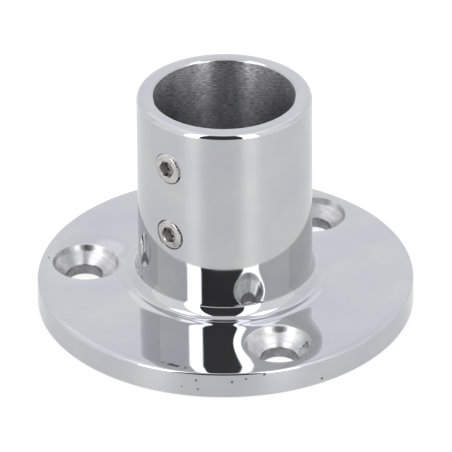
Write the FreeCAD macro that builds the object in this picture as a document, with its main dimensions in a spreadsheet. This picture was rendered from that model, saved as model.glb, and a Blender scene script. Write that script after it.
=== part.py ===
import FreeCAD, Part
import Sketcher
import os

# Tube clamp base flange, polished stainless steel, sizes in millimetres.
# A round flange carries an upright socket for a 25 mm tube. Three countersunk holes take M6
# screws down into a deck, and two M6 set screws on one side of the socket clamp the tube.
# The origin is the centre of the underside, +Z runs up the socket's axis, and the set screws
# face -Y, midway between two of the mounting holes.

# Driving dimensions

SIZES = [
    # socket
    ("bore_diameter", 25.7),
    ("socket_wall", 3.0),
    ("socket_draft", 0.5),
    ("overall_height", 42.6),
    ("neck_fillet", 2.6),
    ("rim_round", 1.0),
    ("mouth_chamfer", 0.5),
    ("bore_foot_chamfer", 0.5),
    # mounting holes
    ("hole_count", 3),
    ("first_hole_angle", 90.0),
    ("hole_diameter", 6.6),
    ("sink_diameter", 12.5),
    ("sink_angle", 90.0),
    ("sink_edge_break", 0.2),
    ("sink_neck_gap", 2.0),
    # flange
    ("flange_margin", 2.05),
    ("flange_thickness", 5.1),
    ("flange_draft", 1.5),
    ("flange_edge_round", 0.5),
    ("foot_chamfer", 0.3),
    # tapped holes
    ("thread_diameter", 6.0),
    ("tapped_edge_break", 0.1),
    ("lower_screw_height", 20.4),
    ("upper_screw_depth", 8.8),
    # set screws
    ("thread_clearance", 0.05),
    ("screw_proud", 0.3),
    ("screw_setback", 0.2),
    ("head_chamfer", 0.4),
    ("point_chamfer", 0.7),
    ("cup_diameter", 3.0),
    ("cup_depth", 0.4),
    ("hex_across_flats", 3.0),
    ("hex_depth", 1.5),
    ("lead_in_diameter", 3.5),
    ("pilot_diameter", 2.6),
    ("drill_angle", 120.0),
    ("set_screw_lower_turn", 11.5),
    ("set_screw_upper_turn", 0.0),
]

SCREW_NODES = ["set_screw_lower", "set_screw_upper"]
PICK_TOLERANCE = 0.01

doc = FreeCAD.newDocument("tube_clamp_base_flange")
sheet = doc.addObject("Spreadsheet::Sheet", "Sizes")
for row, (alias, size) in enumerate(SIZES, start=1):
    sheet.set("A%d" % row, alias)
    sheet.set("B%d" % row, str(size))
    sheet.setAlias("B%d" % row, alias)
doc.recompute()


def value(expression):
    """A number worked out from the driving dimensions."""
    return float(sheet.evalExpression(expression))


# Sizes that more than one feature uses, as expressions on the sheet

BORE_RADIUS = "Sizes.bore_diameter / 2"
SOCKET_RADIUS = "(Sizes.bore_diameter / 2 + Sizes.socket_wall)"
HOLE_CIRCLE_RADIUS = ("(%s + Sizes.neck_fillet + Sizes.sink_neck_gap + Sizes.sink_diameter / 2)"
                      % SOCKET_RADIUS)
FLANGE_RADIUS = ("(%s + Sizes.sink_diameter / 2 + Sizes.flange_margin)" % HOLE_CIRCLE_RADIUS)
SCREW_SPACING = "(Sizes.overall_height - Sizes.upper_screw_depth - Sizes.lower_screw_height)"
SCREW_RADIUS = "(Sizes.thread_diameter / 2 - Sizes.thread_clearance)"
SCREW_TIP_PLACE = "(Sizes.bore_diameter / 2 + Sizes.screw_setback)"
SCREW_LENGTH = "(%s + Sizes.screw_proud - %s)" % (SOCKET_RADIUS, SCREW_TIP_PLACE)

# Sketcher's own numbers: the two axes, and which point of a line or circle is meant

X_AXIS, Y_AXIS = range(-1, -3, -1)
START, END, CENTRE = range(1, 4)


# Helpers for bodies, sketches and edges

def new_body(label):
    body = doc.addObject("PartDesign::Body", label)
    body.Label = label
    return body


def new_sketch(body, name, role):
    """A sketch that lies on an origin plane of its own body."""
    sketch = body.newObject("Sketcher::SketchObject", name)
    plane = next(item for item in body.Origin.OriginFeatures if item.Role == role)
    sketch.AttachmentSupport = [(plane, "")]
    sketch.MapMode = "FlatFace"
    return sketch


def bind(sketch, name, expression, kind, *items):
    """Adds a dimension to a sketch and ties it to the sheet."""
    index = sketch.addConstraint(Sketcher.Constraint(kind, *items, value(expression)))
    sketch.renameConstraint(index, name)
    sketch.setExpression("Constraints." + name, expression)


def place(sketch, name, item, point, across, up):
    """Ties a point's two distances from the sketch origin. None is a point on that axis."""
    if across is None:
        sketch.addConstraint(Sketcher.Constraint("PointOnObject", item, point, Y_AXIS))
    else:
        bind(sketch, name + "_across", across, "DistanceX", X_AXIS, START, item, point)
    if up is None:
        sketch.addConstraint(Sketcher.Constraint("PointOnObject", item, point, X_AXIS))
    else:
        bind(sketch, name + "_up", up, "DistanceY", X_AXIS, START, item, point)


def closed_outline(sketch, corners):
    """Straight lines from corner to named corner, with every corner tied to the sheet."""
    def spot(across, up):
        return FreeCAD.Vector(value(across or "0"), value(up or "0"), 0)

    spots = [spot(across, up) for name, across, up in corners]
    following = [(index + 1) % len(corners) for index in range(len(corners))]
    for start, after in zip(spots, following):
        sketch.addGeometry(Part.LineSegment(start, spots[after]), False)
    for index, after in enumerate(following):
        sketch.addConstraint(Sketcher.Constraint("Coincident", index, END, after, START))
    for index, (name, across, up) in enumerate(corners):
        place(sketch, name, index, START, across, up)
    doc.recompute()


def add_circle(sketch, name, radius, across, up):
    """One circle, with its radius and the place of its centre tied to the sheet."""
    centre = FreeCAD.Vector(value(across or "0"), value(up or "0"), 0)
    circle = Part.Circle(centre, FreeCAD.Vector(0, 0, 1), value(radius))
    index = sketch.addGeometry(circle, False)
    place(sketch, name, index, CENTRE, across, up)
    bind(sketch, name + "_radius", radius, "Radius", index)
    doc.recompute()


def revolve(body, kind, name, sketch):
    """Turns a sketch right round the body's upright axis, to add or to cut."""
    feature = body.newObject("PartDesign::" + kind, name)
    feature.Profile = sketch
    feature.ReferenceAxis = (sketch, ["V_Axis"])
    feature.Angle = 360.0
    doc.recompute()
    return feature


def is_circle(edge, radius, height):
    """Whether an edge is part of a level circle of this radius at this height."""
    if edge.Curve.TypeId != "Part::GeomCircle":
        return False
    at_height = abs(edge.Curve.Center.z - height) < PICK_TOLERANCE
    return at_height and abs(edge.Curve.Radius - radius) < PICK_TOLERANCE


def edges_where(feature, test):
    """Names of the feature's edges that pass a test."""
    names = ["Edge%d" % number for number, edge in enumerate(feature.Shape.Edges, start=1)
             if test(edge)]
    if not names:
        raise RuntimeError("no edge to dress on " + feature.Label)
    return names


def dress(body, kind, name, base, test, length, expression):
    """A fillet or chamfer on the edges that pass a test, tied to the sheet."""
    feature = body.newObject("PartDesign::" + kind, name)
    feature.Base = (base, edges_where(base, test))
    feature.setExpression(length, expression)
    doc.recompute()
    return feature


def check_cut(before, after):
    """Makes sure that a cut took material away."""
    if not after.Shape.Volume < before.Shape.Volume - PICK_TOLERANCE:
        raise RuntimeError(after.Label + " cuts nothing")


# Base casting, turned form: flange, neck and socket. Both outsides taper for the mould.

casting = new_body("base_casting")
section = new_sketch(casting, "HalfSection", "XZ_Plane")
FLANGE_TOP_RADIUS = (FLANGE_RADIUS
                     + " - Sizes.flange_thickness * tan(Sizes.flange_draft * 1 deg)")
NECK_RADIUS = (SOCKET_RADIUS + " + (Sizes.overall_height - Sizes.flange_thickness)"
               " * tan(Sizes.socket_draft * 1 deg)")
CORNERS = [
    ("bore_foot", BORE_RADIUS, None),
    ("foot", FLANGE_RADIUS, None),
    ("edge", FLANGE_TOP_RADIUS, "Sizes.flange_thickness"),
    ("neck", NECK_RADIUS, "Sizes.flange_thickness"),
    ("rim", SOCKET_RADIUS, "Sizes.overall_height"),
    ("mouth", BORE_RADIUS, "Sizes.overall_height"),
]
closed_outline(section, CORNERS)
turned = revolve(casting, "Revolution", "TurnedForm", section)

# Rounded and chamfered edges of the turned form, in the order they are dressed

DRESSED_RINGS = [
    ("NeckFillet", "Fillet", "neck", "Radius", "Sizes.neck_fillet"),
    ("RimRound", "Fillet", "rim", "Radius", "Sizes.rim_round"),
    ("MouthChamfer", "Chamfer", "mouth", "Size", "Sizes.mouth_chamfer"),
    ("FlangeEdgeRound", "Fillet", "edge", "Radius", "Sizes.flange_edge_round"),
    ("FootChamfer", "Chamfer", "foot", "Size", "Sizes.foot_chamfer"),
    ("BoreFootChamfer", "Chamfer", "bore_foot", "Size", "Sizes.bore_foot_chamfer"),
]
turned_corner = {name: section.Geometry[index].StartPoint
                 for index, (name, across, up) in enumerate(CORNERS)}
dressed = turned
for name, kind, corner, length, expression in DRESSED_RINGS:
    spot = turned_corner[corner]
    dressed = dress(casting, kind, name, dressed,
                    lambda edge: is_circle(edge, spot.x, spot.y), length, expression)

# Countersunk mounting holes, spaced evenly round the flange

seat = new_sketch(casting, "HoleCentre", "XY_Plane")
hole_turn = FreeCAD.Rotation(FreeCAD.Vector(0, 0, 1), value("Sizes.first_hole_angle"))
seat.AttachmentOffset = FreeCAD.Placement(FreeCAD.Vector(), hole_turn)
seat.setExpression("AttachmentOffset.Base.z", "Sizes.flange_thickness")
add_circle(seat, "hole", "Sizes.hole_diameter / 2", HOLE_CIRCLE_RADIUS, None)

hole = casting.newObject("PartDesign::Hole", "CountersunkHole")
hole.Profile = seat
doc.recompute()
hole.DepthType = "ThroughAll"
hole.Threaded = False
hole.setExpression("Diameter", "Sizes.hole_diameter")
hole.HoleCutType = "Countersink"
hole.HoleCutCustomValues = True
hole.setExpression("HoleCutDiameter", "Sizes.sink_diameter")
hole.setExpression("HoleCutCountersinkAngle", "Sizes.sink_angle")
doc.recompute()
check_cut(dressed, hole)

hole_ring = casting.newObject("PartDesign::PolarPattern", "MountingHoles")
hole_ring.Originals = [hole]
hole_ring.Axis = (seat, ["N_Axis"])
hole_ring.Angle = 360.0
hole_ring.setExpression("Occurrences", "Sizes.hole_count")
casting.Tip = hole_ring
doc.recompute()
check_cut(hole, hole_ring)

sink_radius = value("Sizes.sink_diameter / 2")
flange_top = value("Sizes.flange_thickness")
sinks = dress(casting, "Chamfer", "SinkEdges", hole_ring,
              lambda edge: is_circle(edge, sink_radius, flange_top),
              "Size", "Sizes.sink_edge_break")

# Tapped holes for the set screws, one above the other through the front wall

tap = new_sketch(casting, "TappedCentre", "XZ_Plane")
add_circle(tap, "tapped", "Sizes.thread_diameter / 2", None, "Sizes.lower_screw_height")

lower_tap = casting.newObject("PartDesign::Pocket", "LowerTappedHole")
lower_tap.Profile = tap
lower_tap.Reversed = True
lower_tap.setExpression("Length", FLANGE_RADIUS)
doc.recompute()
check_cut(sinks, lower_tap)

taps = casting.newObject("PartDesign::LinearPattern", "TappedHoles")
taps.Originals = [lower_tap]
taps.Direction = (tap, ["V_Axis"])
taps.Occurrences = len(SCREW_NODES)
taps.setExpression("Length", "%s * %d" % (SCREW_SPACING, len(SCREW_NODES) - 1))
casting.Tip = taps
doc.recompute()
check_cut(lower_tap, taps)

thread_radius = value("Sizes.thread_diameter / 2")
mid_wall = value("Sizes.bore_diameter / 2 + Sizes.socket_wall / 2")
SCREW_HEIGHTS = ["Sizes.lower_screw_height + %s * %d" % (SCREW_SPACING, step)
                 for step in range(len(SCREW_NODES))]


def is_tapped_mouth(edge):
    """The saddle-shaped edge where a tapped hole breaks out of the socket's outside."""
    def on_mouth(spot):
        reach = min(FreeCAD.Vector(spot.X, spot.Z - value(height), 0).Length
                    for height in SCREW_HEIGHTS)
        return spot.Y < -mid_wall and abs(reach - thread_radius) < PICK_TOLERANCE

    return all(on_mouth(vertex) for vertex in edge.Vertexes)


mouths = dress(casting, "Chamfer", "TappedEdges", taps, is_tapped_mouth,
               "Size", "Sizes.tapped_edge_break")

# Set screws. Each is drawn upright with its cup point down and its hexagon socket on top, then
# laid over so that the socket faces out through the front wall.

HEX_REACH = "Sizes.hex_across_flats / 2 / cos(30 deg)"
HEX_CORNERS = range(0, 360, 60)
SOCKET_FLOOR = "(%s - Sizes.hex_depth)" % SCREW_LENGTH


def hex_corner(angle):
    """One corner of the hexagon, as expressions. The two on the X axis have no height."""
    on_axis = angle % 180 == 0
    return ("corner_%d" % angle, "%s * cos(%d deg)" % (HEX_REACH, angle),
            None if on_axis else "%s * sin(%d deg)" % (HEX_REACH, angle))


def cone_cut(body, name, top, radius, base):
    """Cuts a cone with its wide end up: the lead-in, or the pilot drill's point."""
    sketch = new_sketch(body, name + "_section", "XZ_Plane")
    closed_outline(sketch, [
        ("centre", None, top),
        ("wide", radius, top),
        ("point", None, "%s - %s / tan(Sizes.drill_angle / 2 * 1 deg)" % (top, radius)),
    ])
    cone = revolve(body, "Groove", name, sketch)
    check_cut(base, cone)
    return cone


def set_screw(label, height, turn):
    body = new_body(label)
    profile = new_sketch(body, label + "_half_section", "XZ_Plane")
    closed_outline(profile, [
        ("cup_floor", None, "Sizes.cup_depth"),
        ("cup_edge", "Sizes.cup_diameter / 2", None),
        ("tip_edge", SCREW_RADIUS + " - Sizes.point_chamfer", None),
        ("thread_start", SCREW_RADIUS, "Sizes.point_chamfer"),
        ("thread_end", SCREW_RADIUS, SCREW_LENGTH + " - Sizes.head_chamfer"),
        ("head_edge", SCREW_RADIUS + " - Sizes.head_chamfer", SCREW_LENGTH),
        ("head_centre", None, SCREW_LENGTH),
    ])
    blank = revolve(body, "Revolution", label + "_blank", profile)

    hexagon = new_sketch(body, label + "_hexagon", "XY_Plane")
    hexagon.setExpression("AttachmentOffset.Base.z", SCREW_LENGTH)
    closed_outline(hexagon, [hex_corner(angle) for angle in HEX_CORNERS])
    socket = body.newObject("PartDesign::Pocket", label + "_socket")
    socket.Profile = hexagon
    socket.setExpression("Length", "Sizes.hex_depth")
    doc.recompute()
    check_cut(blank, socket)

    lead_in = cone_cut(body, label + "_lead_in", SCREW_LENGTH,
                       "Sizes.lead_in_diameter / 2", socket)
    cone_cut(body, label + "_pilot", SOCKET_FLOOR, "Sizes.pilot_diameter / 2", lead_in)

    laid_over = FreeCAD.Rotation(FreeCAD.Vector(1, 0, 0), 90)
    turned_home = FreeCAD.Rotation(FreeCAD.Vector(0, 0, 1), turn)
    body.Placement = FreeCAD.Placement(FreeCAD.Vector(), laid_over * turned_home)
    body.setExpression("Placement.Base.y", "-" + SCREW_TIP_PLACE)
    body.setExpression("Placement.Base.z", height)
    doc.recompute()
    return body


screws = [set_screw(label, height, value("Sizes.%s_turn" % label))
          for label, height in zip(SCREW_NODES, SCREW_HEIGHTS)]

# Check and write

doc.recompute()
for item in doc.Objects:
    if "Invalid" in item.State or "Error" in item.State:
        raise RuntimeError("%s failed: %s" % (item.Label, item.State))

bodies = [casting] + screws
for body in bodies:
    if body.Shape.isNull() or not body.Shape.isValid() or len(body.Shape.Solids) != 1:
        raise RuntimeError(body.Label + " is not one valid solid")

os.makedirs("parts", exist_ok=True)
for body in bodies:
    body.Shape.exportStep("parts/%s.step" % body.Label)
    box = body.Shape.BoundBox
    print("%s %.1f mm3, x %.3f to %.3f, y %.3f to %.3f, z %.3f to %.3f" % (
        body.Label, body.Shape.Volume, box.XMin, box.XMax, box.YMin, box.YMax,
        box.ZMin, box.ZMax))
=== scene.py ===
# %% [markdown]
# # A tube clamp base flange in polished stainless steel
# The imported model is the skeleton: it says how large every part is and where it sits. This
# lesson dresses it in the surfaces that the eye sees, in the same place and at the same size.
# Everything is in metres, so lengths in millimetres are multiplied by MM.

# %% Load the skeleton and keep its size
import bpy
import math
import numpy as np
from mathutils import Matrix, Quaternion, Vector


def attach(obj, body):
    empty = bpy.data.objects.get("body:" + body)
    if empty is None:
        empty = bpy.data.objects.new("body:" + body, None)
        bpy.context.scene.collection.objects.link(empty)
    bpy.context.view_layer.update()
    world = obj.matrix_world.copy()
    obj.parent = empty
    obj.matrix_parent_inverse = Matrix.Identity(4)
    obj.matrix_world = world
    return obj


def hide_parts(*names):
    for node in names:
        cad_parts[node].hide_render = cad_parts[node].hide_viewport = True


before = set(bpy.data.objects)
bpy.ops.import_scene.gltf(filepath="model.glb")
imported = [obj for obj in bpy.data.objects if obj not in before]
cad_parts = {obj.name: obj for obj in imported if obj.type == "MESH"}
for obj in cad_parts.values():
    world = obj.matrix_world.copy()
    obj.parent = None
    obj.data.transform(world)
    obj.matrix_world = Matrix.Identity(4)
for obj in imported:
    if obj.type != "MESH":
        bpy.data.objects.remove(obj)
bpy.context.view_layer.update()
MM = 0.001

# %% [markdown]
# ## The numbers of the casting
# The base is one investment casting: a round flange, a socket for the tube and a fillet between
# them. Its numbers come first, so that every later cell can use their names. BORE, SOCKET,
# FLANGE and HOLE are radii. Both outsides taper, because a casting has to leave its mould. At
# the rim, the outer edge is rounded and the land inside it rises to a low crown.

# %% Sizes of the casting, in millimetres
BORE, SOCKET, HEIGHT = 12.85, 15.85, 42.6
FLANGE, THICKNESS = 35.0, 5.1
FLANGE_DRAFT, SOCKET_DRAFT = math.radians(1.5), math.radians(0.5)
NECK_ROUND, EDGE_ROUND = 2.6, 0.32
RIM_WIDE, RIM_DEEP, RIM_ROUND = 0.4, 0.34, 0.47
LAND_ROUND = 0.03
CROWN_WIDE, CROWN_DEEP, CROWN_ROUND = 1.1, 0.18, 0.25
MOUTH_WIDE, MOUTH_DEEP, MOUTH_ROUND = 0.4, 0.27, 0.07
BORE_FOOT, FLANGE_FOOT = 0.5, 0.3
FLANGE_TOP = FLANGE - THICKNESS * math.tan(FLANGE_DRAFT)
NECK = SOCKET + (HEIGHT - THICKNESS) * math.tan(SOCKET_DRAFT)
HOLE, HOLE_CIRCLE, HOLE_ANGLES = 3.3, 26.7, (90, 210, 330)
SCREW_HEIGHTS = (20.4, 33.8)
print("flange top radius", round(FLANGE_TOP, 3), "neck radius", round(NECK, 3))


# %% Centres of the mounting holes
def around(reach, degrees, centre=(0, 0)):
    """The point at a distance and a turn, in degrees from +X, round a centre."""
    turn = math.radians(degrees)
    return centre[0] + reach * math.cos(turn), centre[1] + reach * math.sin(turn)


HOLES = [around(HOLE_CIRCLE, turn) for turn in HOLE_ANGLES]
print("holes at", [(round(x, 1), round(y, 1)) for x, y in HOLES])

# %% [markdown]
# ## Turning: one outline, spun round an axis
# A lathe makes round things by moving one outline about an axis, and so does Spin. The outline
# starts as a plane merged to a single point, is extruded from corner to corner, and gets its
# rounds from a vertex bevel, which is the fillet tool of a flat outline. Rounding the outline
# before the spin gives even, clean rings, which matters here: a mirror shows every flaw.

# %% Helpers for a turned piece
def only(piece):
    """Makes one object the only selected and active one."""
    if bpy.context.object and bpy.context.object.mode != "OBJECT":
        bpy.ops.object.mode_set(mode="OBJECT")
    bpy.ops.object.select_all(action="DESELECT")
    piece.select_set(True)
    bpy.context.view_layer.objects.active = piece


def pick(piece, test):
    """In edit mode, selects just the points that pass a test on their place in millimetres."""
    bpy.ops.mesh.select_mode(type="VERT")
    bpy.ops.mesh.select_all(action="DESELECT")
    bpy.ops.object.mode_set(mode="OBJECT")
    for point in piece.data.vertices:
        point.select = test(*(point.co / MM))
    bpy.ops.object.mode_set(mode="EDIT")


def near(across, up, reach=0.01):
    """A test for the point of an outline at this distance from the axis and this height."""
    return lambda x, y, z: abs(x - across) < reach and abs(z - up) < reach


def outline(name, corners, rounds=(), divided=()):
    """An outline in the XZ plane through corners (across, up), with its corners rounded."""
    bpy.ops.object.select_all(action="DESELECT")
    bpy.ops.mesh.primitive_plane_add(size=MM)
    piece = bpy.context.object
    piece.name = piece.data.name = name
    bpy.ops.object.mode_set(mode="EDIT")
    bpy.ops.mesh.merge(type="CENTER")
    bpy.ops.mesh.select_all(action="SELECT")
    bpy.ops.transform.translate(value=(corners[0][0] * MM, 0, corners[0][1] * MM))
    here = Vector(corners[0])
    for corner in corners[1:]:
        step = (Vector(corner) - here) * MM
        bpy.ops.mesh.extrude_vertices_move(
            TRANSFORM_OT_translate={"value": (step.x, 0, step.y)})
        here = Vector(corner)
    for corner, radius, segments in rounds:
        pick(piece, near(*corner))
        bpy.ops.mesh.bevel(offset=radius * MM, segments=segments, affect="VERTICES")
    for start, end, cuts in divided:
        pick(piece, lambda x, y, z: near(*start)(x, y, z) or near(*end)(x, y, z))
        bpy.ops.mesh.subdivide(number_cuts=cuts)
    bpy.ops.object.mode_set(mode="OBJECT")
    return piece


def spin(piece, steps):
    """Spins the outline right round the Z axis and closes the seam and the poles."""
    only(piece)
    bpy.ops.object.mode_set(mode="EDIT")
    bpy.ops.mesh.select_all(action="SELECT")
    bpy.ops.mesh.spin(steps=steps, angle=math.tau, center=(0, 0, 0), axis=(0, 0, 1))
    bpy.ops.mesh.select_all(action="SELECT")
    bpy.ops.mesh.remove_doubles(threshold=0.002 * MM)
    bpy.ops.mesh.normals_make_consistent(inside=False)
    bpy.ops.object.mode_set(mode="OBJECT")
    print(piece.name, len(piece.data.polygons), "faces")
    return piece


# %% [markdown]
# ## Turning marks need a direction
# A tool leaves fine rings round the axis it turned about, and such a surface stretches its
# highlights across the rings. The shader takes that direction from a UV map: it stretches along
# U, so U follows the outline, in steps of U_STEP millimetres, and V runs round the axis.

# %% A UV map that runs round the axis
U_STEP = 10


def ring_map(piece):
    """V is the turn about the Z axis, U changes along the outline."""
    mesh = piece.data
    layer = mesh.uv_layers["UVMap"]
    for face in mesh.polygons:
        corners = [(loop, mesh.vertices[mesh.loops[loop].vertex_index].co)
                   for loop in face.loop_indices]
        middle = math.atan2(face.center.y, face.center.x)
        for loop, place in corners:
            reach = math.hypot(place.x, place.y)
            turn = math.atan2(place.y, place.x) if reach > 1e-7 else middle
            turn += math.tau * round((middle - turn) / math.tau)
            layer.data[loop].uv = ((place.z - 2 * reach) / MM / U_STEP, turn / math.tau)


# %% [markdown]
# ## The casting before it is drilled
# The corners follow the section: bore, underside, flange, neck, socket, rim and mouth. The
# flange's top is divided into narrow rings, because the polish will be pressed into it round
# the holes. The collar is a low ridge round the neck's foot, and COLLAR_END is where it ends.

# %% Outline and spin of the casting
SPIN_STEPS = 540
NECK_FOOT, COLLAR_END = NECK + NECK_ROUND, 20.8
bore_foot = (BORE, BORE_FOOT)
flange_edge, neck = (FLANGE_TOP, THICKNESS), (NECK, THICKNESS)
rim_edge = (SOCKET, HEIGHT - CROWN_DEEP - RIM_DEEP)
land_edge = (SOCKET - RIM_WIDE, HEIGHT - CROWN_DEEP)
crown = (SOCKET - CROWN_WIDE, HEIGHT)
mouth_top, mouth_foot = (BORE + MOUTH_WIDE, HEIGHT), (BORE, HEIGHT - MOUTH_DEEP)
casting = outline(
    "polished_base",
    [bore_foot, (BORE + BORE_FOOT, 0), (FLANGE - FLANGE_FOOT, 0),
     (FLANGE - FLANGE_FOOT * math.tan(FLANGE_DRAFT), FLANGE_FOOT),
     flange_edge, (COLLAR_END, THICKNESS), neck,
     rim_edge, land_edge, crown, mouth_top, mouth_foot, bore_foot],
    rounds=[(neck, NECK_ROUND, 32), (rim_edge, RIM_ROUND, 10), (land_edge, LAND_ROUND, 2),
            (crown, CROWN_ROUND, 4), (flange_edge, EDGE_ROUND, 8),
            (mouth_top, MOUTH_ROUND, 3), (mouth_foot, MOUTH_ROUND, 3)],
    divided=[((FLANGE_TOP - EDGE_ROUND, THICKNESS), (COLLAR_END, THICKNESS), 64),
             ((COLLAR_END, THICKNESS), (NECK_FOOT, THICKNESS), 16)])
only(casting)
bpy.ops.object.mode_set(mode="EDIT")
pick(casting, lambda x, y, z: BORE < x < BORE + MOUTH_WIDE - 0.04
     and HEIGHT - MOUTH_DEEP < z < HEIGHT - 0.02)
bpy.ops.mesh.subdivide(number_cuts=3)
bpy.ops.object.mode_set(mode="OBJECT")
print("outline points", len(casting.data.vertices))
spin(casting, SPIN_STEPS)

# %% [markdown]
# ## Where the buffing wheel dips
# A soft wheel rounds off the rim of every hole that it passes, so the flange falls away gently
# for about 4 mm round each countersink. It falls more on the side of the neck, where the wheel
# turns back, and more at one hole than at the others. It is too slight to see as a shape, but
# the mirror picture of the socket bends round the holes because of it. The wheel also rolls
# over the flange's edge, and leaves the collar round the neck's foot. Each point is moved by a
# rule of its distances, which no hand-moved ring could do as smoothly.

# %% Numbers of the polish
# DIPS: depth and reach. DIP_SHARES: one for each hole. COLLAR: distance from the axis and slope
# in degrees. Nothing under STILL moves, and nothing above the neck's fillet.
SINK = 6.17
DIPS = [(0.28, 4.3), (0.02, 0.7)]
DIP_DEPTH = sum(depth for depth, dip_reach in DIPS)
DIP_SHARES, LEAN = (1.0, 1.5, 1.03), 0.5
EDGE_FALL, EDGE_REACH = 0.17, 2.2
COLLAR = [(17.6, 0), (17.9, 4), (18.1, 7.5), (18.3, 9.6), (18.5, 3.2), (18.7, -9), (18.9, -16),
          (19.1, -18), (19.3, -15), (19.5, -9), (19.75, -4.5), (20.0, -2), (20.4, 0)]
COLLAR_SPAN = (17.6, 20.5)
STILL, FILLET_TOP = 3.0, THICKNESS + 2.9
print("a dip is", round(DIP_DEPTH, 2), "mm deep before its share")


# %% Lower the flange round the holes and at its edge, and raise the collar
def places(mesh):
    """All points of a mesh as rows of x, y, z in millimetres."""
    flat = np.empty(len(mesh.vertices) * 3)
    mesh.vertices.foreach_get("co", flat)
    return flat.reshape(-1, 3) / MM


def put_places(mesh, rows):
    """Writes the points back."""
    mesh.vertices.foreach_set("co", (rows * MM).ravel())
    mesh.update()


points = places(casting.data)
on_top = np.clip(points[:, 2] - STILL, 0, 1) * (points[:, 2] < FILLET_TOP)
for (x, y), dip_share in zip(HOLES, DIP_SHARES):
    away = np.hypot(points[:, 0] - x, points[:, 1] - y) - SINK
    inward = -((points[:, 0] - x) * x + (points[:, 1] - y) * y) / HOLE_CIRCLE / (away + SINK)
    for depth, dip_reach in DIPS:
        share = np.clip(1 - away / dip_reach, 0, None)
        share = np.where(share > 1, 1 + (share - 1) * 2, share ** 2)
        points[:, 2] -= on_top * depth * dip_share * (1 + LEAN * inward) * np.minimum(share, 2)
reach = np.hypot(points[:, 0], points[:, 1])
radii = np.linspace(*COLLAR_SPAN, 300)
slopes = np.tan(np.radians(np.interp(radii, *np.array(COLLAR).T)))
rises = np.cumsum(slopes) * (radii[1] - radii[0])
rise = np.interp(reach, radii, rises - rises[-1])
low_enough = np.clip((THICKNESS + NECK_ROUND - points[:, 2]) / NECK_ROUND, 0, 1)
points[:, 2] += on_top * low_enough * rise
edge_share = np.clip((reach - FLANGE_TOP + EDGE_REACH) / EDGE_REACH, 0, 1)
points[:, 2] -= on_top * EDGE_FALL * edge_share ** 2
put_places(casting.data, points)
from_holes = np.min([np.hypot(points[:, 0] - x, points[:, 1] - y) for x, y in HOLES], axis=0)
flat_top = (points[:, 2] > STILL) & (from_holes > SINK) & (reach < FLANGE_TOP - EDGE_REACH)
print("deepest dip outside the holes", round(THICKNESS - points[flat_top, 2].min(), 3))

# %% [markdown]
# ## Cutters for the holes
# Each hole is a turned cutter taken away from the casting, just as a drill and a countersink do
# it. Its edges have small rounds, because a real edge always catches a line of light. The cone
# ends in a steep lip, and above the lip the cutter flares to stay clear of the dipped surface.

# %% Countersink cutter
LIP_WIDE, LIP_DEEP, CONE_HALF = 0.42, 1.0, 54
FLARE_WIDE, FLARE_UP, CUTTER_TOP = 1.2, 0.45, 2
CONE_SLOPE = 1 / math.tan(math.radians(CONE_HALF))
rim = -DIP_DEPTH
LIP = (SINK - LIP_WIDE, rim - LIP_DEEP)
sink_foot = LIP[1] - (LIP[0] - HOLE) * CONE_SLOPE
sink = outline(
    "countersink", [(0, -THICKNESS - 1), (HOLE, -THICKNESS - 1), (HOLE, sink_foot),
                    LIP, (SINK, rim), (SINK + FLARE_WIDE, rim + FLARE_UP),
                    (SINK + FLARE_WIDE, CUTTER_TOP), (0, CUTTER_TOP)],
    rounds=[((HOLE, sink_foot), 0.15, 3), (LIP, 0.3, 4), ((SINK, rim), 0.1, 4)])
spin(sink, 160)
ring_map(sink)

# %% [markdown]
# ## One cutter for each hole
# The upper part of each cutter is tilted just as the dip round its hole is, so that the
# countersink's edge keeps one depth all round. The countersinks were not drilled quite in the
# middle of their holes: two of them sit a little towards the axis.

# %% Countersinks in their places
SINK_SHIFTS = (0, 0.25, 0.1)


def copy_to(piece, name):
    """A copy with its own mesh."""
    twin = piece.copy()
    twin.data = piece.data.copy()
    twin.name = twin.data.name = name
    bpy.context.scene.collection.objects.link(twin)
    return twin


sinks = []
for (x, y), dip_share, aside in zip(HOLES, DIP_SHARES, SINK_SHIFTS):
    cutter = copy_to(sink, "cut_sink")
    rows = places(cutter.data)
    upper = np.clip((rows[:, 2] - sink_foot) / (LIP[1] - sink_foot), 0, 1)
    inward = -(rows[:, 0] * x + rows[:, 1] * y) / HOLE_CIRCLE
    rows[:, 2] -= upper * DIP_DEPTH * (dip_share * (1 + LEAN * inward / SINK) - 1)
    rows[:, :2] -= (upper * aside)[:, None] * np.array([x, y]) / HOLE_CIRCLE
    put_places(cutter.data, rows + np.array([x, y, THICKNESS]))
    sinks.append(cutter)
bpy.data.objects.remove(sink)
print(len(sinks), "countersink cutters")

# %% [markdown]
# ## The two tapped holes
# The set screws stand in threaded holes through the socket's front wall. The wall is round and
# the hole is straight, so the hole's mouth is saddle-shaped: its sides lie further back than
# its top and bottom. The cutter is turned like a drill, the rings at its mouth are pushed back
# to follow the wall, and it is laid over to face -Y. The upper hole was drilled a little to one
# side. SCREW_SHIFTS says for each hole how far it is moved aside and up, and its screw out.

# %% Tapped-hole cutters
THREAD, TAP_BREAK, TAP_ROUND = 2.91, 0.07, 0.04
SCREW_SHIFTS = ((0, 0, 0), (-0.3, 0.12, 0.05))


def wall_at(height):
    """Distance of the socket's outside from its axis at a height."""
    return SOCKET + (HEIGHT - height) * math.tan(SOCKET_DRAFT)


def lay_over(piece, height):
    """Turns an upright cutter so that its top faces -Y, at a height on the socket."""
    rows = places(piece.data)
    put_places(piece.data, np.stack([rows[:, 0], -rows[:, 2], rows[:, 1] + height], axis=1))


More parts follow.
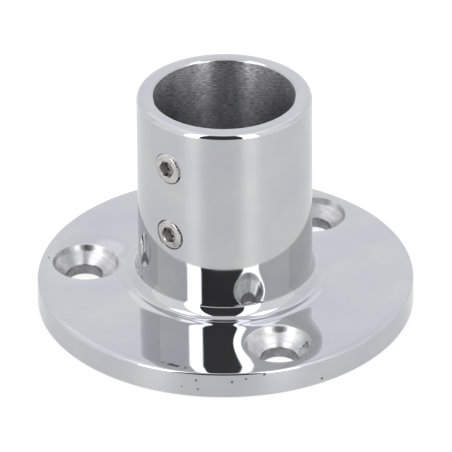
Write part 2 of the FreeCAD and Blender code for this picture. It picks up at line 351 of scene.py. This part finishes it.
taps = []
for height, shift in zip(SCREW_HEIGHTS, SCREW_SHIFTS):
    wall = wall_at(height)
    inner, outer = (THREAD, wall - TAP_BREAK), (THREAD + TAP_BREAK, wall)
    flare = THREAD + 2 * TAP_BREAK + 0.2
    tap = outline("cut_tap", [(0, BORE - 2), (THREAD, BORE - 2), inner, outer,
                              (flare, wall + 0.5), (flare, wall + 3), (0, wall + 3)],
                  rounds=[(inner, TAP_ROUND, 2), (outer, TAP_ROUND, 2)])
    spin(tap, 144)
    rows = places(tap.data) + np.array([shift[0], 0, 0])
    rows[:, 2] -= (rows[:, 2] > wall - 1) * (wall - np.sqrt(wall ** 2 - rows[:, 0] ** 2))
    put_places(tap.data, rows)
    ring_map(tap)
    lay_over(tap, height + shift[1])
    taps.append(tap)
print(len(taps), "tapped-hole cutters")

# %% [markdown]
# ## Small flaws
# Casting leaves a few pinholes that polishing opens, the countersinking tool chattered in one
# hole, and another hole has a nick beside it. They are real dents, so they are cut with small
# balls, each of its own size.

# %% Pinholes, chatter dents and a nick
# PINHOLES: turn round the axis, height and radius. CHATTER and NICK: turn round the hole,
# distance from its middle and radius. The balls sit partly out of the metal.
PINHOLES = [(300.2, 3.5, 0.24), (300.7, 1.7, 0.2), (295.9, 1.95, 0.14), (310.7, 3.33, 0.26),
            (314.8, 3.86, 0.22), (320.2, 4.5, 0.26), (338.3, 1.1, 0.26)]
CHATTER = [(63.9, 5.5, 0.3), (63.6, 4.87, 0.26), (62.4, 4.3, 0.2), (58.8, 3.76, 0.13),
           (-40.0, 5.62, 0.12), (118.0, 5.6, 0.14), (103.0, 5.66, 0.16), (97.0, 5.62, 0.12)]
NICK = [(-151.2, 6.75, 0.25), (-146.3, 6.55, 0.2)]
PINHOLE_OUT, CHATTER_OUT = 0.35, 0.3


def ball(place, radius):
    """A small ball, as a cutter."""
    bpy.ops.object.select_all(action="DESELECT")
    bpy.ops.mesh.primitive_ico_sphere_add(subdivisions=3, radius=radius * MM,
                                          location=[v * MM for v in place])
    bpy.ops.object.transform_apply(location=True, rotation=False, scale=False)
    bpy.context.object.name = "cut_dent"
    return bpy.context.object


dents = []
for turn, height, size in PINHOLES:
    reach = FLANGE - height * math.tan(FLANGE_DRAFT) + size * PINHOLE_OUT
    dents.append(ball((*around(reach, turn), height), size))
front_hole, left_hole = HOLES[HOLE_ANGLES.index(330)], HOLES[HOLE_ANGLES.index(210)]
for turn, reach, size in CHATTER:
    height = THICKNESS + LIP[1] - (LIP[0] - reach) * CONE_SLOPE
    out = size * CHATTER_OUT
    dents.append(ball((*around(reach - out, turn, front_hole), height + out), size))
for turn, reach, size in NICK:
    dents.append(ball((*around(reach, turn, left_hole), THICKNESS - 0.02), size))
print(len(dents), "dents")

# %% [markdown]
# ## Cutting without spoiling the mirror
# A boolean cut leaves long thin faces, and shading them afresh would ripple the reflections.
# Each mesh therefore writes its own smooth normals into an attribute first, the cut carries the
# attribute along, and the finished casting takes its shading from there.

# %% Keep normals, cut, and give the normals back
def keep_normals(piece, angle, inside_out=False):
    """Shades smooth up to an angle and stores the normals on the corners."""
    only(piece)
    bpy.ops.object.shade_smooth_by_angle(angle=math.radians(angle))
    mesh = piece.data
    flat = np.empty(len(mesh.loops) * 3, np.float32)
    mesh.corner_normals.foreach_get("vector", flat)
    stored = mesh.attributes.new("own_normal", "FLOAT_VECTOR", "CORNER")
    stored.data.foreach_set("vector", -flat if inside_out else flat)


def give_normals(piece):
    """Sets the shading normals from the stored ones and removes the store."""
    mesh = piece.data
    stored = mesh.attributes["own_normal"]
    flat = np.empty(len(mesh.loops) * 3, np.float32)
    stored.data.foreach_get("vector", flat)
    rows = flat.reshape(-1, 3)
    rows /= np.linalg.norm(rows, axis=1, keepdims=True)
    mesh.attributes.remove(stored)
    for face in mesh.polygons:
        face.use_smooth = True
    mesh.normals_split_custom_set(rows.tolist())


def cut_away(piece, tools):
    """Takes cutters away from a piece in one exact cut."""
    only(tools[0])
    for tool in tools:
        tool.select_set(True)
    if len(tools) > 1:
        bpy.ops.object.join()
    only(piece)
    triangles = piece.modifiers.new("flat_faces", "TRIANGULATE")
    bpy.ops.object.modifier_apply(modifier=triangles.name)
    cut = piece.modifiers.new("cut", "BOOLEAN")
    cut.operation, cut.solver, cut.object = "DIFFERENCE", "EXACT", tools[0]
    cut.material_mode = "TRANSFER"
    bpy.ops.object.modifier_apply(modifier=cut.name)
    bpy.data.objects.remove(tools[0])
    print(piece.name, len(piece.data.polygons), "faces after the cut")


# %% [markdown]
# ## Building materials from nodes
# A material is a little machine of nodes. One function adds any node with its settings and its
# inputs, and an input may be a plain value or another node's output. Colours are written as the
# hex values that a paint picker shows, and turned into the linear light that shaders work in.

# %% Node and colour helpers
def linear(code):
    """A hex colour such as #c0c0c0 as linear red, green, blue and alpha."""
    parts = [int(code[i:i + 2], 16) / 255 for i in (1, 3, 5)]
    return [c / 12.92 if c <= 0.04045 else ((c + 0.055) / 1.055) ** 2.4 for c in parts] + [1]


def add_node(tree, kind, settings=None, inputs=None):
    """A node with its settings and inputs. An input that is a socket becomes a link."""
    made = tree.nodes.new(kind)
    for name, value in (settings or {}).items():
        setattr(made, name, value)
    for name, value in (inputs or {}).items():
        if isinstance(value, bpy.types.NodeSocket):
            tree.links.new(value, made.inputs[name])
        else:
            made.inputs[name].default_value = value
    return made


def maths(tree, operation, *values):
    """A Math node on sockets or plain numbers."""
    made = add_node(tree, "ShaderNodeMath", {"operation": operation}, dict(enumerate(values)))
    return made.outputs["Value"]


def ramp(tree, share, stops):
    """A colour ramp through stops of (position, colour)."""
    made = add_node(tree, "ShaderNodeValToRGB", inputs={"Fac": share})
    elements = made.color_ramp.elements
    while len(elements) > 1:
        elements.remove(elements[0])
    elements[0].position, elements[0].color = stops[0]
    for position, colour in stops[1:]:
        elements.new(position).color = colour
    return made.outputs["Color"]


def new_material(name):
    """An empty node material and its tree."""
    material = bpy.data.materials.new(name)
    material.use_nodes = True
    material.node_tree.nodes.clear()
    return material, material.node_tree


def finish_material(tree, shader):
    """Connects the last shader to the output."""
    add_node(tree, "ShaderNodeOutputMaterial", inputs={"Surface": shader})


# %% [markdown]
# ## Mirror-polished stainless steel
# The outside of the casting is ground and buffed until it is a mirror. It has almost no colour
# of its own: it shows the room, a little darker than the room is. Two things give it away as
# hand-polished metal: very slight waves several millimetres long that the buffing wheel leaves,
# and a faint haze that changes from place to place. A trace of dust lies on what faces up: it
# is a share of the surface that is not metal.

# %% Polished steel
def mirror_steel():
    """Buffed cast stainless steel, with waves, haze, a clouded tone and a little dust."""
    material, tree = new_material("mirror_polished_stainless_steel")
    place = add_node(tree, "ShaderNodeTexCoord").outputs["Object"]
    waves = add_node(tree, "ShaderNodeTexNoise", {},
                     {"Vector": place, "Scale": 1 / (9 * MM), "Detail": 1.5})
    haze = add_node(tree, "ShaderNodeTexNoise", {},
                    {"Vector": place, "Scale": 1 / (5 * MM), "Detail": 5.0, "Roughness": 0.6})
    gloss = add_node(tree, "ShaderNodeMapRange", {},
                     {"Value": haze.outputs["Fac"], "From Min": 0.3, "From Max": 0.75,
                      "To Min": 0.03, "To Max": 0.075})
    bump = add_node(tree, "ShaderNodeBump", {},
                    {"Height": waves.outputs["Fac"], "Strength": 1.0, "Distance": 0.006 * MM})
    clouds = add_node(tree, "ShaderNodeTexNoise", {},
                      {"Vector": place, "Scale": 1 / (11 * MM), "Detail": 3.0})
    tone = ramp(tree, clouds.outputs["Fac"],
                [(0.35, linear("#c5c6c5")), (0.65, linear("#bfbfc5"))])
    facing = add_node(tree, "ShaderNodeSeparateXYZ", inputs={
        "Vector": add_node(tree, "ShaderNodeNewGeometry").outputs["Normal"]})
    dust = add_node(tree, "ShaderNodeMapRange", {},
                    {"Value": facing.outputs["Z"], "From Min": 0.6, "From Max": 0.95,
                     "To Min": 1.0, "To Max": 0.975})
    shader = add_node(tree, "ShaderNodeBsdfPrincipled", {},
                      {"Base Color": tone, "Metallic": dust.outputs["Result"],
                       "Roughness": gloss.outputs["Result"], "Normal": bump.outputs["Normal"]})
    finish_material(tree, shader.outputs["BSDF"])
    return material


# %% [markdown]
# ## Turned steel
# The bore and the countersinks are left as the tool cut them. The fine rings blur reflections
# far more across the rings than along them, which the shader calls anisotropic. One builder
# serves the bore, the countersinks, the drilled holes and the screws. The bore's marks are the
# deepest, and its colour is painted darker with its depth: painted shade for where little of
# the tent's light gets in.

# %% Machined steel
# heights in millimetres: the bore's painted shade is full below BORE_DARK and gone above
# BORE_LIGHT
BORE_DARK, BORE_LIGHT = 25, 41


def turned_steel(name, dark_code, code, roughness, anisotropic, dashes, ring_width,
                 ring_depth, painted_shade_share=1.0, cloudy=0.5):
    """Steel with tool marks, ring_width and ring_depth in millimetres and so many dashes round.

    painted_shade_share is the share of the pale tone that is left at BORE_DARK, where the colour
    is painted darkest as painted shade, and cloudy is how far blotches change the marks from
    place to place.
    """
    material, tree = new_material(name)
    rings_at = add_node(tree, "ShaderNodeUVMap", {"uv_map": "UVMap"}).outputs["UV"]
    along = add_node(tree, "ShaderNodeMapping", {},
                     {"Vector": rings_at, "Scale": (U_STEP / ring_width, dashes, 1.0)})
    rings = add_node(tree, "ShaderNodeTexNoise", {"noise_dimensions": "2D"},
                     {"Vector": along.outputs["Vector"], "Scale": 1.0, "Detail": 4.0,
                      "Roughness": 0.65})
    place = add_node(tree, "ShaderNodeTexCoord").outputs["Object"]
    blotches = add_node(tree, "ShaderNodeTexNoise", {},
                        {"Vector": place, "Scale": 1 / (2.2 * MM), "Detail": 3.0})
    soft = add_node(tree, "ShaderNodeMapRange", {},
                    {"Value": blotches.outputs["Fac"], "To Min": 0.5 - cloudy,
                     "To Max": 0.5 + cloudy})
    marks = maths(tree, "MULTIPLY", rings.outputs["Fac"], soft.outputs["Result"])
    tone = add_node(tree, "ShaderNodeMapRange", {},
                    {"Value": marks, "From Min": 0.14, "From Max": 0.36})
    height = add_node(tree, "ShaderNodeSeparateXYZ", inputs={"Vector": place}).outputs["Z"]
    # painted shade: the colour is painted darker towards the bottom of the bore, where little of
    # the tent's light gets in
    depth_shade = add_node(tree, "ShaderNodeMapRange", {},
                     {"Value": height, "From Min": BORE_DARK * MM,
                      "From Max": BORE_LIGHT * MM, "To Min": painted_shade_share, "To Max": 1.0})
    share = maths(tree, "MULTIPLY", tone.outputs["Result"], depth_shade.outputs["Result"])
    colour = add_node(tree, "ShaderNodeMix", {"data_type": "RGBA"},
                      {0: share, 6: linear(dark_code), 7: linear(code)})
    bump = add_node(tree, "ShaderNodeBump", {},
                    {"Height": rings.outputs["Fac"], "Strength": 1.0,
                     "Distance": ring_depth * MM})
    way = add_node(tree, "ShaderNodeTangent", {"direction_type": "UV_MAP", "uv_map": "UVMap"})
    shader = add_node(tree, "ShaderNodeBsdfPrincipled", {},
                      {"Base Color": colour.outputs[2], "Metallic": 1.0,
                       "Roughness": roughness, "Anisotropic": anisotropic,
                       "Normal": bump.outputs["Normal"], "Tangent": way.outputs["Tangent"]})
    finish_material(tree, shader.outputs["BSDF"])
    return material


def plain_steel(name, code, roughness):
    """Small places with no clear tool marks, with a gloss that changes from grain to grain."""
    material, tree = new_material(name)
    place = add_node(tree, "ShaderNodeTexCoord").outputs["Object"]
    grain = add_node(tree, "ShaderNodeTexNoise", {},
                     {"Vector": place, "Scale": 1 / (0.4 * MM), "Detail": 3.0})
    gloss = add_node(tree, "ShaderNodeMapRange", {},
                     {"Value": grain.outputs["Fac"], "To Min": roughness * 0.7,
                      "To Max": roughness * 1.3})
    shader = add_node(tree, "ShaderNodeBsdfPrincipled", {},
                      {"Base Color": linear(code), "Metallic": 1.0,
                       "Roughness": gloss.outputs["Result"]})
    finish_material(tree, shader.outputs["BSDF"])
    return material


# %% The materials, each named for the metal and what was done to it
# cast stainless steel, ground and buffed
MIRROR = mirror_steel()
# the bore, bored on a lathe and left so, its colour painted darker towards the bottom as painted
# shade
BORED = turned_steel("bored_stainless_steel", "#707072", "#f0f0f2", roughness=0.37,
                     anisotropic=0.85, dashes=80, ring_width=0.2, ring_depth=0.015,
                     painted_shade_share=0.18, cloudy=0.12)
# the cones of the mounting holes, countersunk and left so
SUNK = turned_steel("countersunk_stainless_steel", "#bababb", "#d6d6d7", roughness=0.32,
                    anisotropic=0.2, dashes=9, ring_width=0.5, ring_depth=0.001)
# the mounting holes under their cones, drilled
DRILLED = turned_steel("drilled_stainless_steel", "#8c8c8e", "#aeaeaf", roughness=0.42,
                       anisotropic=0.4, dashes=40, ring_width=0.4, ring_depth=0.006)
# the set screws, turned from bright stainless bar
SCREW = turned_steel("turned_screw_steel", "#aaa8a6", "#d4d3d1", roughness=0.18,
                     anisotropic=0.3, dashes=9, ring_width=0.25, ring_depth=0.002)
# the tapped holes and the floors of the hexagon sockets
TAPPED = plain_steel("tapped_thread_steel", "#b4b4b6", 0.35)
# the floors of pinholes and other dents, in a darker, rougher steel
PITTED = plain_steel("pinhole_floor", "#6d6d70", 0.45)
print("materials made")

# %% [markdown]
# ## Finishing the casting
# Now the pieces come together. The bore's faces get the bored finish and everything else the
# mirror. Each cutter brings the finish of the surface that it leaves behind.

# %% Materials on the faces, then the cut
CREASE, TOOL_CREASE = 40, 30
casting.data.materials.append(MIRROR)
casting.data.materials.append(BORED)
for face in casting.data.polygons:
    reach, height = math.hypot(*face.center.xy) / MM, face.center.z / MM
    in_bore = BORE_FOOT + 0.1 < height < HEIGHT - MOUTH_DEEP - MOUTH_ROUND
    face.material_index = int(reach < BORE + 0.02 and in_bore)
ring_map(casting)
keep_normals(casting, CREASE)
for tools, finish in ((sinks, SUNK), (taps, TAPPED), (dents, PITTED)):
    for tool in tools:
        tool.data.materials.append(finish)
        if tools is sinks:
            tool.data.materials.append(DRILLED)
            for face in tool.data.polygons:
                face.material_index = int(face.center.z / MM < THICKNESS + sink_foot + 0.05)
        keep_normals(tool, TOOL_CREASE, inside_out=True)
cut_away(casting, sinks + taps)
cut_away(casting, dents)
give_normals(casting)
print([m.name for m in casting.data.materials])

# %% [markdown]
# ## Set screws
# Each is a headless M6 screw with a hexagon socket. The body is turned, and a helical groove is
# then pressed into it by rule, point by point, down to the thread's root. The groove runs out
# over the chamfer, which gives the small crescents at a real screw's end.

# %% Blank of a set screw with its thread
# The groove's flanks stand at 60 degrees, so it gets sqrt(3) shallower for each step aside.
SCREW_RADIUS, SCREW_LENGTH = 2.89, 3.1
HEAD_WIDE, HEAD_LONG, HEAD_ROUND, TIP_CHAMFER = 0.22, 0.36, 0.14, 0.7
CUP_RADIUS, CUP_DEPTH = 1.5, 0.4
PITCH, GROOVE, GROOVE_DEPTH, GROOVE_FROM = 1.0, 0.72, 0.58, 2.2
SCREW_TIP = BORE + 0.2
tip_edge, thread_start = (SCREW_RADIUS - TIP_CHAMFER, 0), (SCREW_RADIUS, TIP_CHAMFER)
thread_end = (SCREW_RADIUS, SCREW_LENGTH - HEAD_LONG)
head_edge = (SCREW_RADIUS - HEAD_WIDE, SCREW_LENGTH)
blank = outline(
    "screw_blank", [(0, CUP_DEPTH), (CUP_RADIUS, 0), tip_edge, thread_start, thread_end,
                    head_edge, (0, SCREW_LENGTH)],
    rounds=[(thread_end, 0.05, 2), (head_edge, HEAD_ROUND, 5)],
    divided=[(thread_start, (SCREW_RADIUS, SCREW_LENGTH - HEAD_LONG - 0.05), 40),
             (tip_edge, thread_start, 14)])
spin(blank, 144)
rows = places(blank.data)
reach = np.hypot(rows[:, 0], rows[:, 1])
turn = np.arctan2(rows[:, 1], rows[:, 0]) / math.tau
phase = np.abs((rows[:, 2] / PITCH - turn) % 1 - 0.5) * PITCH
root = SCREW_RADIUS - np.clip(GROOVE - math.sqrt(3) * phase, 0, GROOVE_DEPTH)
on_thread = (reach > GROOVE_FROM) & (rows[:, 2] > 0.05)
cut_to = np.where(on_thread, np.minimum(reach, root), reach)
rows[:, :2] *= (cut_to / np.maximum(reach, 1e-6))[:, None]
put_places(blank.data, rows)
print("thread root", round(cut_to[reach > SCREW_RADIUS - 0.05].min(), 2))

# %% [markdown]
# ## The hexagon socket
# The socket is a six-sided hole with a conical lead-in at its mouth. It was drilled before the
# hexagon was pressed in, so its floor keeps the drill's shallow point.

# %% Cutters for the hexagon socket
HEX_FLATS, HEX_DEPTH, LEAD_IN, PILOT = 2.9, 1.9, 1.6, 1.3
PILOT_POINT = 0.3
bpy.ops.object.select_all(action="DESELECT")
bpy.ops.mesh.primitive_cylinder_add(
    vertices=6, radius=HEX_FLATS / 2 / math.cos(math.pi / 6) * MM, depth=2 * HEX_DEPTH * MM,
    location=(0, 0, SCREW_LENGTH * MM), rotation=(0, 0, math.radians(30)))
hexagon = bpy.context.object
hexagon.name = "cut_hexagon"
bpy.ops.object.transform_apply(location=True, rotation=True, scale=True)
lead_in = outline("cut_lead_in", [(0, SCREW_LENGTH - LEAD_IN / math.sqrt(3)),
                                  (LEAD_IN, SCREW_LENGTH), (LEAD_IN + 0.2, SCREW_LENGTH + 0.12),
                                  (LEAD_IN + 0.2, SCREW_LENGTH + 1), (0, SCREW_LENGTH + 1)])
floor_at = SCREW_LENGTH - HEX_DEPTH
pilot = outline("cut_pilot", [(0, floor_at - PILOT * PILOT_POINT), (PILOT, floor_at),
                              (PILOT, floor_at + 0.5), (0, floor_at + 0.5)])
spin(lead_in, 96)
spin(pilot, 48)
for turned in (lead_in, pilot, blank):
    ring_map(turned)

# %% Cut the hexagon socket
blank.data.materials.append(SCREW)
keep_normals(blank, TOOL_CREASE)
for tool, finish in ((pilot, TAPPED), (hexagon, SCREW), (lead_in, SCREW)):
    tool.data.materials.append(finish)
    keep_normals(tool, TOOL_CREASE, inside_out=True)
    cut_away(blank, [tool])
give_normals(blank)

# %% [markdown]
# ## Placing the screws
# One screw is enough to model. It is copied, turned a little differently each time, laid over
# to face -Y and put in its tapped hole, and each copy stands for its node of the skeleton.

# %% Two screws in their holes
SCREW_TURNS = {"set_screw_lower": 11.5, "set_screw_upper": 0.0}


def turn_and_place(piece, turns, place):
    """Turns a piece about X, Y and Z in degrees, puts it at a place and keeps it there."""
    piece.rotation_euler = [math.radians(turn) for turn in turns]
    piece.location = [v * MM for v in place]
    only(piece)
    bpy.ops.object.transform_apply(location=True, rotation=True, scale=True)


pieces = {"base_casting": casting}
for (node, turn), height, shift in zip(SCREW_TURNS.items(), SCREW_HEIGHTS, SCREW_SHIFTS):
    screw = copy_to(blank, node.replace("set_screw", "hex_set_screw"))
    aside, up, out = shift
    turn_and_place(screw, (0, 0, turn), (0, 0, 0))
    turn_and_place(screw, (90, 0, 0), (aside, -(SCREW_TIP + out), height + up))
    pieces[node] = screw
bpy.data.objects.remove(blank)
print(len(pieces), "pieces")

# %% [markdown]
# ## Riding on the skeleton
# Each piece is tied to the body that it moves with, and the skeleton's own part for its node is
# hidden.

# %% Each piece rides on the skeleton and stands for its node
for node, piece in pieces.items():
    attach(piece, "root")
    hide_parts(node)
    own = places(piece.data)

# %% [markdown]
# ## The photographer's tent
# Polished metal is lit by what surrounds it. A product photographer puts it in a white tent,
# with a dark gap at the front where the camera looks in and a bright strip light either side of
# the gap. The world plays the tent: it works out the direction of each ray, as an angle round
# from the gap's middle and a height above the floor, and looks up how bright the tent is there.
# The walls have three bands one above the other, and a roof of one brightness closes the tent.

# %% Brightness of the tent
# WALL, LEDGE and SHOULDER are the bands from the floor up: degrees from the gap's middle, and
# brightness. The changes are the heights, in degrees, where one band gives way to the next.
TENT_SIDE, TENT_TOP, ROOF = 34.8, 4.0, 0.95
WALL = [(0, 0.055), (27.0, 0.055), (27.7, 3.6), (46.3, 3.6), (47.0, 1.14), (97.0, 1.14),
        (97.6, 0.55), (98.3, 1.0), (140, 1.02), (180, 1.1)]
LEDGE = WALL[:8] + [(140, 1.05), (150, 1.25), (166, 1.25), (171, 1.04), (180, 1.04)]
SHOULDER = [(0, 0.055), (27.0, 0.055), (27.7, 3.0), (46.3, 3.0), (47.0, 1.3), (63.5, 1.3),
            (65.5, 2.5), (101.0, 2.5), (104.0, 1.1), (150, 1.25), (180, 1.25)]
TO_LEDGE, TO_SHOULDER, TO_ROOF = (35.5, 39.0), (55.0, 58.0), (70.5, 73.5)
print("stops in the bands", len(WALL), len(LEDGE), len(SHOULDER))


# %% The tent as a world
def band(tree, share, levels):
    """Brightness all round the tent in one band."""
    stops = [(degrees / 180, (*[level / TENT_TOP] * 3, 1)) for degrees, level in levels]
    return maths(tree, "MULTIPLY", ramp(tree, share, stops), TENT_TOP)


def change_over(tree, height, change, below, above):
    """Goes from one brightness to another between two heights, in degrees above the floor."""
    start, end = change
    share = add_node(tree, "ShaderNodeMapRange", {"interpolation_type": "SMOOTHSTEP"},
                     {"Value": height, "From Min": math.radians(start),
                      "From Max": math.radians(end)})
    made = add_node(tree, "ShaderNodeMix", {"data_type": "FLOAT"},
                    {0: share.outputs["Result"], 2: below, 3: above})
    return made.outputs[0]


world = bpy.data.worlds.new("tent")
bpy.context.scene.world = world
world.use_nodes = True
tree = world.node_tree
tree.nodes.clear()
ray_way = add_node(tree, "ShaderNodeTexCoord").outputs["Generated"]
facing = add_node(tree, "ShaderNodeMapping", {"vector_type": "VECTOR"},
                  {"Vector": ray_way, "Rotation": (0, 0, -math.radians(TENT_SIDE))})
parts = add_node(tree, "ShaderNodeSeparateXYZ", inputs={"Vector": facing.outputs["Vector"]})
round_from_front = maths(tree, "ABSOLUTE", maths(
    tree, "ARCTAN2", parts.outputs["X"], maths(tree, "MULTIPLY", parts.outputs["Y"], -1)))
share_round = maths(tree, "DIVIDE", round_from_front, math.pi)
height_of_ray = maths(tree, "ARCSINE", parts.outputs["Z"])
wall, ledge, shoulder = (band(tree, share_round, levels) for levels in (WALL, LEDGE, SHOULDER))
level = change_over(tree, height_of_ray, TO_LEDGE, wall, ledge)
level = change_over(tree, height_of_ray, TO_SHOULDER, level, shoulder)
level = change_over(tree, height_of_ray, TO_ROOF, level, ROOF)
tone = ramp(tree, share_round, [(0.55, linear("#ffffff")), (0.75, linear("#fafaff"))])
glow = add_node(tree, "ShaderNodeBackground", inputs={"Color": tone, "Strength": level})
add_node(tree, "ShaderNodeOutputWorld", inputs={"Surface": glow.outputs["Background"]})
print("tent nodes", len(tree.nodes))

# %% [markdown]
# ## The floor
# The object stands on white paper under a sheet of glass. The paper glows a little for the
# camera, so that it reads as pure white, and takes the rest of its light from the tent, so that
# the object still darkens it where the two meet. The polished metal sees the glass instead: it
# glows too, and adds a blurred picture of the tent, which the socket and the flange's side
# show again.

# %% Floor
PAPER, PAPER_GLOW = 0.26, 0.77
GLASS, GLASS_ROUGHNESS, GLASS_GLOW = 0.14, 0.38, 0.7
bpy.ops.object.select_all(action="DESELECT")
bpy.ops.mesh.primitive_plane_add(size=6, location=(0, 0, -0.02 * MM))
floor = bpy.context.object
floor.name = "white_floor"
# white paper under glass, which a glossy ray sees as glass and any other ray as paper
material, tree = new_material("white_glass_table")
path = add_node(tree, "ShaderNodeLightPath")
seen = maths(tree, "MAXIMUM", maths(tree, "MAXIMUM", path.outputs["Is Camera Ray"],
                                    path.outputs["Is Glossy Ray"]),
             path.outputs["Is Transmission Ray"])
glass = add_node(tree, "ShaderNodeBsdfPrincipled", {},
                 {"Base Color": (GLASS, GLASS, GLASS, 1), "Roughness": GLASS_ROUGHNESS,
                  "Emission Color": linear("#fefeff"), "Emission Strength": GLASS_GLOW})
sheet = add_node(tree, "ShaderNodeBsdfDiffuse", inputs={"Color": (PAPER, PAPER, PAPER, 1)})
glow = add_node(tree, "ShaderNodeEmission", inputs={
    "Color": linear("#ffffff"), "Strength": maths(tree, "MULTIPLY", seen, PAPER_GLOW)})
paper = add_node(tree, "ShaderNodeAddShader", inputs={
    0: sheet.outputs["BSDF"], 1: glow.outputs["Emission"]})
both = add_node(tree, "ShaderNodeMixShader", inputs={
    0: path.outputs["Is Glossy Ray"], 1: paper.outputs["Shader"], 2: glass.outputs["BSDF"]})
finish_material(tree, both.outputs["Shader"])
floor.data.materials.append(material)
print("floor nodes", len(tree.nodes))

# %% [markdown]
# ## The camera
# The picture was taken from about 60 centimetres away with a long lens, from a little above.
# The camera is aimed at a point close to the axis and tipped by less than half a degree.

# %% Camera
CAMERA_AWAY, CAMERA_TURN, CAMERA_UP = 533.1, -51.0, 333.6
CAMERA_TIP = math.radians(-0.3855)
CAMERA_PLACE = Vector((*around(CAMERA_AWAY, CAMERA_TURN), CAMERA_UP)) * MM
AIM = Vector((0.123, 0.099, 14.72)) * MM
lens = bpy.data.cameras.new("long_lens")
lens.lens, lens.sensor_width = 268.4, 36.0
lens.clip_start, lens.clip_end = 0.01, 20
camera = bpy.data.objects.new("camera", lens)
bpy.context.scene.collection.objects.link(camera)
camera.location = CAMERA_PLACE
camera.rotation_mode = "QUATERNION"
camera.rotation_quaternion = ((AIM - CAMERA_PLACE).to_track_quat("-Z", "Y")
                              @ Quaternion((0, 0, 1), CAMERA_TIP))
bpy.context.scene.camera = camera
bpy.context.scene.view_settings.view_transform = "Standard"
print("camera", round((AIM - CAMERA_PLACE).length / MM), "mm from what it looks at")
